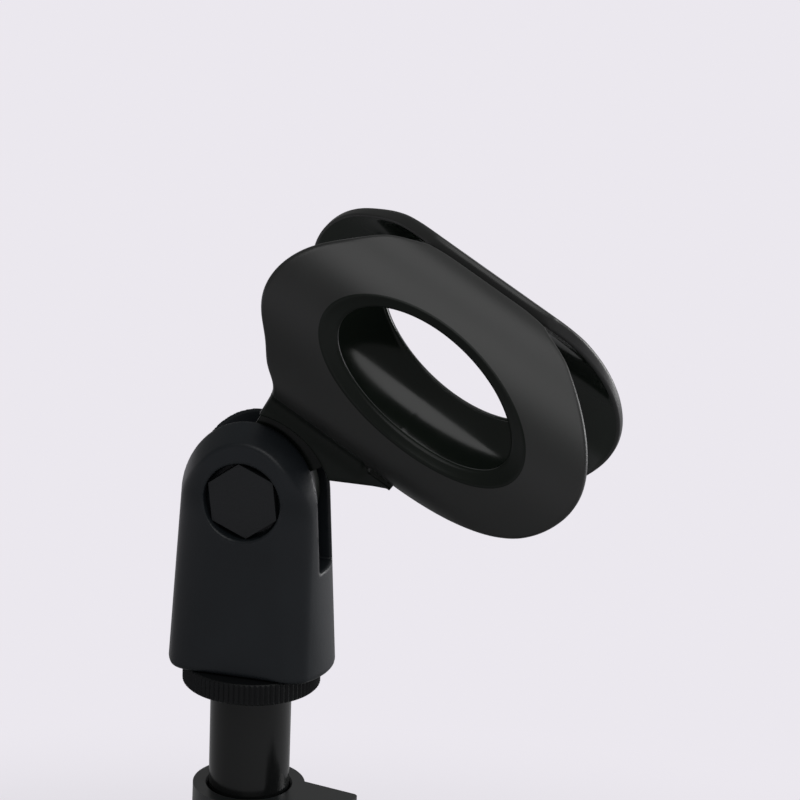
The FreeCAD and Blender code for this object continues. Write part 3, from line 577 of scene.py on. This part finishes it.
@dataclass
class ClipNeck:
    """The neck that joins the wings below and the tongue that goes between the ears of the yoke."""

    shell: ClipShell
    back: float = -6.75
    step: tuple[float, float] = (14.8, 16.8)
    lip: float = 19.8
    half_width: float = 8.0
    flare_start: float = 17.3
    flare_radius: float = 7.0
    flare_top: float = 22.4
    dome_clearance: float = 17.6
    underside: float = 6.0
    edge_round: float = 0.7
    least_height: float = 0.35
    middle_gap: float = 0.3
    top_lift: float = 0.12
    cap_hub: float = 5.0
    tongue_radius: float = 12.0
    tongue_top: float = 19.3
    tongue_half: float = 3.38
    tongue_round: float = 0.5
    join_reach: float = 13.0
    columns: int = 120
    side_rows: int = 14
    top_rows: int = 9

    def level(self, along: np.ndarray) -> np.ndarray:
        """Height of the level underside: where the tilted point is `underside` above the pivot."""
        tilt = math.radians(self.shell.tilt)
        return (self.underside + along * math.sin(tilt)) / math.cos(tilt)

    def floor(self, across: np.ndarray) -> np.ndarray:
        """Height of the channel's floor: the inside of the section ellipse."""
        inner_width = self.shell.half_width - self.shell.wall
        inner_height = self.shell.half_height - self.shell.wall
        return self.shell.axis_height - inner_height * np.sqrt(1 - (across / inner_width) ** 2)

    def flank(self, up: np.ndarray) -> np.ndarray:
        """Half width of the neck at a height: straight, then a hollow arc out to the wing's skin."""
        rise = np.clip(up - self.flare_start, 0.0, self.flare_top - self.flare_start)
        return self.half_width + self.flare_radius - np.sqrt(self.flare_radius ** 2 - rise ** 2)

    def half_section(self, along: float) -> np.ndarray:
        """Right half of the neck's section at one station, from the middle of its underside to the top.

        Returns:
            (n, 2) array of across and up.
        """
        ends = np.clip((along - self.step[0]) / (self.step[1] - self.step[0]), 0.0, 1.0)
        ends = ends * ends * (3 - 2 * ends)
        finish = self.flare_top * (1 - ends) + self.lip * ends
        dome = math.sqrt(max(self.dome_clearance ** 2 - along ** 2, 0.0))
        low = min(max(dome, float(self.level(np.array(along)))), finish - self.least_height)
        corner = min(self.edge_round, (finish - low) * 0.4)
        up = np.linspace(low + corner, finish, self.side_rows)
        side = self.flank(up) * (1 - ends) + self.half_width * ends
        turn = np.linspace(0.0, math.pi / 2, 5)[:-1]
        foot = np.stack([side[0] - corner * (1 - np.sin(turn)), low + corner * (1 - np.cos(turn))], axis=-1)
        bottom = np.stack([np.linspace(self.middle_gap, side[0] - corner, 4)[:-1], np.full(3, low)], axis=-1)
        wall = np.stack([side, up], axis=-1)
        top_across = np.linspace(side[-1] - self.edge_round, self.middle_gap, self.top_rows)
        top_up = self.floor(top_across) * (1 - ends) + (finish + self.top_lift) * ends
        top = np.stack([top_across, np.maximum(top_up, finish + self.top_lift)], axis=-1)
        return np.concatenate([bottom, foot, wall, top])

    def block(self) -> tuple[np.ndarray, np.ndarray]:
        """The neck as a run of mirrored sections with a fan over each half of its two ends.

        Returns:
            Points in the row frame and quads.
        """
        tilt = math.radians(self.shell.tilt)
        tip = (self.lip * math.cos(tilt) - self.underside) / math.sin(tilt)
        stations = np.linspace(self.back, tip, self.columns)
        halves = [self.half_section(float(along)) for along in stations]
        first = halves[0]
        slope = np.gradient(first, axis=0)
        inward = np.stack([-slope[:, 1], slope[:, 0]], axis=-1)
        inward /= np.linalg.norm(inward, axis=1, keepdims=True)
        rings = [(self.back + self.edge_round * (1 - math.cos(turn)),
                  first + inward * self.edge_round * (1 - math.sin(turn)))
                 for turn in np.linspace(0.0, math.pi / 2, 5)[:-1]]
        rings += [(float(along), half) for along, half in zip(stations, halves)
                  if along > self.back + self.edge_round]
        rows = []
        for along, half in rings:
            right = np.stack([np.full(len(half), along), half[:, 0], half[:, 1]], axis=-1)
            left = right[::-1] * np.array([1.0, -1.0, 1.0])
            rows.append(np.concatenate([right, left]))
        grid = np.stack(rows)
        around = grid.shape[1]
        half_count = around // 2
        faces = [grid_faces(len(rows), around, row_loop=False)]
        hubs: list[np.ndarray] = []
        pair = np.arange(0, half_count, 2)
        for row, turn in ((0, -1), (len(rows) - 1, 1)):
            low, high = grid[row, 0], grid[row, half_count - 1]
            for side in (0, 1):
                fan = np.stack([pair, pair + 1, (pair + 2) % half_count], axis=-1)
                fan = fan + side * half_count + row * around
                hub = np.full((len(pair), 1), grid.shape[0] * around + len(hubs))
                faces.append(np.hstack([fan, hub])[:, ::turn])
                hubs.append((low + high) / 2 * [1.0, 0.0, 1.0] + [0.0, self.cap_hub * (1 - 2 * side), 0.0])
            middle = np.array([[0, half_count - 1, half_count, around - 1]]) + row * around
            faces.append(middle[:, ::turn])
        points = np.concatenate([grid.reshape(-1, 3), np.array(hubs)])
        return self.shell.to_row(points), np.concatenate(faces)

    def tongue(self) -> tuple[np.ndarray, np.ndarray]:
        """The tongue: a disc about the pivot that runs up into the neck, as two faces and a rounded rim.

        Returns:
            Points in the row frame and quads.
        """
        angle = np.linspace(0.0, 2 * math.pi, 181)[:-1]
        ray = np.stack([np.sin(angle), np.cos(angle)])
        tilt = math.radians(self.shell.tilt)
        drop = ray[1] * math.cos(tilt) - ray[0] * math.sin(tilt)
        to_back = np.where(ray[0] < -TINY, self.back / np.minimum(ray[0], -TINY), FAR)
        to_top = np.where(ray[1] > TINY, self.tongue_top / np.maximum(ray[1], TINY), FAR)
        lift = np.minimum(to_top, to_back)
        joins = (drop > 0) & (self.underside < self.join_reach * drop) & (ray[1] > 0)
        reach = np.where(joins, np.maximum(self.tongue_radius, lift), self.tongue_radius)
        shares = (0.02, 0.35, 0.7, 1.0)
        turns = np.linspace(0.0, math.pi / 2, 4)
        outer: list[tuple[float, float, float]] = [(share, 0.0, self.tongue_half) for share in shares[:-1]]
        outer += [(1.0, self.tongue_round * (1 - math.sin(turn)),
                   self.tongue_half - self.tongue_round * (1 - math.cos(turn))) for turn in turns]
        profile = outer + [(share, inset, -height) for share, inset, height in reversed(outer)]
        rows = [np.stack([ray[0] * (reach * share - inset), np.full_like(angle, height),
                          ray[1] * (reach * share - inset)], axis=-1) for share, inset, height in profile]
        grid = np.stack(rows)
        quads = grid_faces(len(rows), len(angle))
        return self.shell.to_row(grid.reshape(-1, 3)), quads[:, ::-1]


@dataclass
class Clip:
    """The whole clip as one moulding, standing for the CAD node of the same name."""

    shell: ClipShell = field(default_factory=ClipShell)

    def build(self) -> bpy.types.Object:
        """Join wings, neck and tongue into one mesh object.

        Returns:
            The finished object, riding on the clip's body.
        """
        neck = ClipNeck(self.shell)
        parts = [self.shell.wing(-1), self.shell.wing(1), neck.block(), neck.tongue()]
        points, quads, finish, start = [], [], [], 0
        for number, (part_points, part_quads) in enumerate(parts):
            points.append(part_points)
            quads.append(part_quads + start)
            row = part_quads.min(axis=1) // self.shell.columns
            inside = (row >= self.shell.inside_start) & (row < self.shell.inside_end) & (number < 2)
            # Painted shade: the window bevel rows, the neck and the tongue get the third, darker material.
            painted_shade_faces = (inside & (row < self.shell.bevel_end)) | (number > 1)
            finish.append(np.where(painted_shade_faces, 2, inside.astype(np.int32)))
            start += len(part_points)
        mesh = make_mesh("clip_moulding", np.concatenate(points), np.concatenate(quads), np.concatenate(finish))
        mesh.materials.append(bpy.data.materials["clip_satin"])
        mesh.materials.append(bpy.data.materials["clip_polished"])
        # Third material: painted shade on the bevels, the neck and the tongue.
        mesh.materials.append(bpy.data.materials["clip_painted_shade"])
        piece = bpy.data.objects.new("clip_moulding", mesh)
        bpy.context.scene.collection.objects.link(piece)
        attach(piece, "clip")
        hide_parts("clip")
        return piece


def round_both(first: np.ndarray, second: np.ndarray, radius: float) -> np.ndarray:
    """Distance to what two forms share, with a round of a radius where their faces meet.

    Inside both the larger distance counts; near the meeting line it is the length of the pair of distances
    measured from the centre of the round, less the radius.
    """
    a, b = np.maximum(first + radius, 0.0), np.maximum(second + radius, 0.0)
    return np.minimum(np.maximum(first, second), -radius) + np.hypot(a, b)


@dataclass
class Yoke:
    """The forked moulding: a tapered round with two flats, domed ears, a slot and a recess for the bolt head.

    Distances are in millimetres from the pivot, with `x` along the slot, `y` along the pivot's axis and `z` up.
    """

    pivot_height: float = 230.22
    foot: float = -35.8
    foot_radius: float = 16.4
    pivot_radius: float = 14.4
    foot_flat: float = 10.6
    pivot_flat: float = 9.7
    flank_round: float = 4.6
    foot_flank_round: float = 2.2
    dome_height: float = 14.95
    dome_slant: float = 0.6
    arch_run: float = 13.0
    arch_start: float = 0.33
    arch_round: float = 0.4
    slot_half: float = 4.0
    slot_depth: float = 14.4
    slot_round: float = 0.45
    bolt_hole: float = 4.06
    recess_radius: float = 7.7
    recess_floor: float = 3.1
    recess_round: float = 0.25
    nut_across: float = 13.2
    nut_floor: float = 3.8
    thread_radius: float = 9.44
    thread_depth: float = 13.0
    foot_round: float = 0.9
    step: float = 0.42
    margin: float = 1.0
    dome_margin: float = 3.6
    settle_rounds: int = 4
    settle_share: float = 0.8
    settle_limit: float = 0.4

    def form(self, x: np.ndarray, y: np.ndarray, z: np.ndarray) -> np.ndarray:
        """Distance, below zero inside the moulding, at points.

        The tapered round ends above the pivot in a dome that slants down to the two faces. Its edge with the
        two flats has a wide round at the flanks and a fine one over the arch of the face. Slot, recesses and
        holes are then taken away.
        """
        share = (z - self.foot) / -self.foot
        radius = self.foot_radius + (self.pivot_radius - self.foot_radius) * share
        flat = self.foot_flat + (self.pivot_flat - self.foot_flat) * share
        half = np.sqrt(np.maximum(radius ** 2 - y ** 2, 4.0))
        height = self.dome_height - self.dome_slant * (np.abs(y) - self.slot_half)
        post = half * (np.hypot(x / half, np.maximum(z, 0.0) / height) - 1.0) / np.hypot(1.0, y / half)
        edge = self.flank_round + (self.foot_flank_round - self.flank_round) * np.clip(1.0 - share, 0.0, 1.0)
        crown = np.clip(z / self.arch_run + self.arch_start, 0.0, 1.0)
        edge = edge + (self.arch_round - edge) * crown * crown * (3.0 - 2.0 * crown)
        body = round_both(post, np.abs(y) - flat, edge)
        body = round_both(body, self.foot - z, self.foot_round)
        slot = np.maximum(np.abs(y) - self.slot_half, -self.slot_depth - z)
        body = round_both(body, -slot, self.slot_round)
        around = np.hypot(x, z)
        recess = np.maximum(around - self.recess_radius, y + self.pivot_flat - self.recess_floor)
        body = round_both(body, -recess, self.recess_round)
        body = np.maximum(body, self.bolt_hole - around)
        angle = np.pi / 3
        hexagon = np.max([np.abs(x * math.cos(k * angle) + z * math.sin(k * angle)) for k in (0.5, 1.5, 2.5)],
                         axis=0) - self.nut_across / 2
        body = np.maximum(body, -np.maximum(hexagon, self.pivot_flat - self.nut_floor - y))
        thread = np.maximum(np.hypot(x, y) - self.thread_radius, z - self.foot - self.thread_depth)
        return np.maximum(body, -thread)

    def net(self) -> tuple[np.ndarray, np.ndarray]:
        """Quads over the zero level of the form, one point in each cell that the level passes.

        Each point starts at the mean of the crossings on its cell's edges and is then moved onto the level along
        the form's slope.

        Returns:
            Points in the row frame and quads, facing out.
        """
        reach = (self.foot_radius + self.margin, self.foot_flat + self.margin)
        axes = [np.arange(-reach[0], reach[0], self.step), np.arange(-reach[1], reach[1], self.step),
                np.arange(self.foot - self.margin, self.dome_height + self.dome_margin, self.step)]
        value = self.form(*np.meshgrid(*axes, indexing="ij"))
        shape = tuple(n - 1 for n in value.shape)
        total, count = np.zeros(shape + (3,)), np.zeros(shape)
        faces = []
        index = np.full(shape, -1)
        crossings = []
        for axis in range(3):
            near = [slice(None)] * 3
            far = [slice(None)] * 3
            near[axis], far[axis] = slice(0, -1), slice(1, None)
            low, high = value[tuple(near)], value[tuple(far)]
            crosses = (low < 0) != (high < 0)
            share = np.where(crosses, low / np.where(crosses, low - high, 1.0), 0.0)
            crossings.append((crosses, low < 0))
            others = [k for k in range(3) if k != axis]
            for first in (0, 1):
                for second in (0, 1):
                    take = [slice(None)] * 3
                    take[others[0]] = slice(first, shape[others[0]] + first)
                    take[others[1]] = slice(second, shape[others[1]] + second)
                    hit = crosses[tuple(take)]
                    count += hit
                    total[..., axis] += np.where(hit, share[tuple(take)], 0.0)
                    total[..., others[0]] += hit * first
                    total[..., others[1]] += hit * second
        used = count > 0
        index[used] = np.arange(int(used.sum()))
        cells = np.argwhere(used)
        points = np.array([axis[0] for axis in axes]) + self.step * (cells + total[used] / count[used][:, None])
        for axis, (crosses, starts_inside) in enumerate(crossings):
            others = [k for k in range(3) if k != axis]
            take = [slice(None)] * 3
            take[others[0]], take[others[1]] = slice(1, -1), slice(1, -1)
            places = np.argwhere(crosses[tuple(take)])
            places[:, others[0]] += 1
            places[:, others[1]] += 1
            flip = starts_inside[tuple(places.T)]
            corners = []
            for first, second in ((1, 1), (0, 1), (0, 0), (1, 0)):
                cell = places.copy()
                cell[:, others[0]] -= first
                cell[:, others[1]] -= second
                corners.append(index[tuple(cell.T)])
            quad = np.stack(corners, axis=-1)
            turn = flip if axis != 1 else ~flip
            quad[~turn] = quad[~turn][:, ::-1]
            faces.append(quad)
        limit = self.settle_limit * self.step
        for _ in range(self.settle_rounds):
            here = self.form(*points.T)
            slope = np.stack([(self.form(*(points + TINY * axis).T) - here) / TINY for axis in np.eye(3)], axis=-1)
            length = np.maximum((slope ** 2).sum(axis=1), 0.25)
            move = -(here / length)[:, None] * slope
            points = points + np.clip(move, -limit, limit) * self.settle_share
        points = MM * (points + np.array([0.0, 0.0, self.pivot_height]))
        return points, np.concatenate(faces)

    def build(self) -> bpy.types.Object:
        """Make the yoke's mesh, standing for the CAD node of the same name.

        Returns:
            The finished object, riding on the fork.
        """
        mesh = make_mesh("yoke_moulding", *self.net())
        mesh.materials.append(bpy.data.materials["yoke_grained"])
        piece = bpy.data.objects.new("yoke_moulding", mesh)
        bpy.context.scene.collection.objects.link(piece)
        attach(piece, "fork")
        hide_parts("yoke")
        return piece


def dress_nodes(frame: dict) -> None:
    """Give each CAD node the finish of its own slot."""
    made = {slot: finish.material() for slot, finish in FINISHES.items()}
    slots = {row["node"]: row["material_slot"] for row in frame["record"]["subparts"]}
    for name, node in frame["nodes"].items():
        for place in node.material_slots:
            place.material = made[slots[name]]
        LOG.info("node %s has %s", name, made[slots[name]].name)


def main() -> None:
    """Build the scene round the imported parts."""
    logging.basicConfig(level=logging.INFO, format="%(name)s: %(message)s")
    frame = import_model()
    bpy.context.scene.view_settings.view_transform = "Standard"
    dress_nodes(frame)
    Camera().build()
    Studio().build()
    for maker in (Clip(), Yoke()):
        piece = maker.build()
        LOG.info("made %s with %d faces", piece.name, len(piece.data.polygons))


if __name__ == "__main__":
    main()
